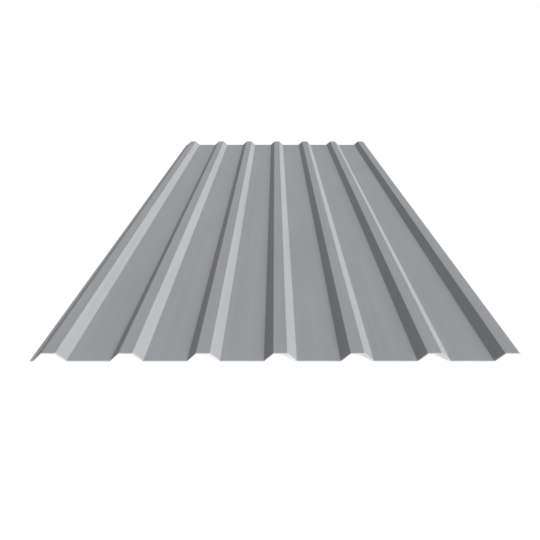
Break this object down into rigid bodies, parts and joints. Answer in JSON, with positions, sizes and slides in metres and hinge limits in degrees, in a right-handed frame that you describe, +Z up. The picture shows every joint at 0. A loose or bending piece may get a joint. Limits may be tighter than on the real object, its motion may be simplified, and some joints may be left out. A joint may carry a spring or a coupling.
{
  "type": "corrugated metal sheet",
  "caption": "Trapezoidal corrugated metal sheet for roofs and walls: flat pans between raised ribs, a bearing foot along one side edge and a short lap lip along the other.",
  "frame": {"origin": "on the floor plane under the middle of the sheet's bounding box, level with the undersides of the pans", "axes": "+X across the ribs from the bearing foot to the lap lip, +Y along the ribs, +Z up from the pans to the crowns"},
  "size_m": [1.0644, 2.2, 0.0207],
  "materials": {
    "coated_steel": "matte"
  },
  "bodies": {
    "root": {"roofing_sheet": "coated_steel"}
  },
  "joints": []
}
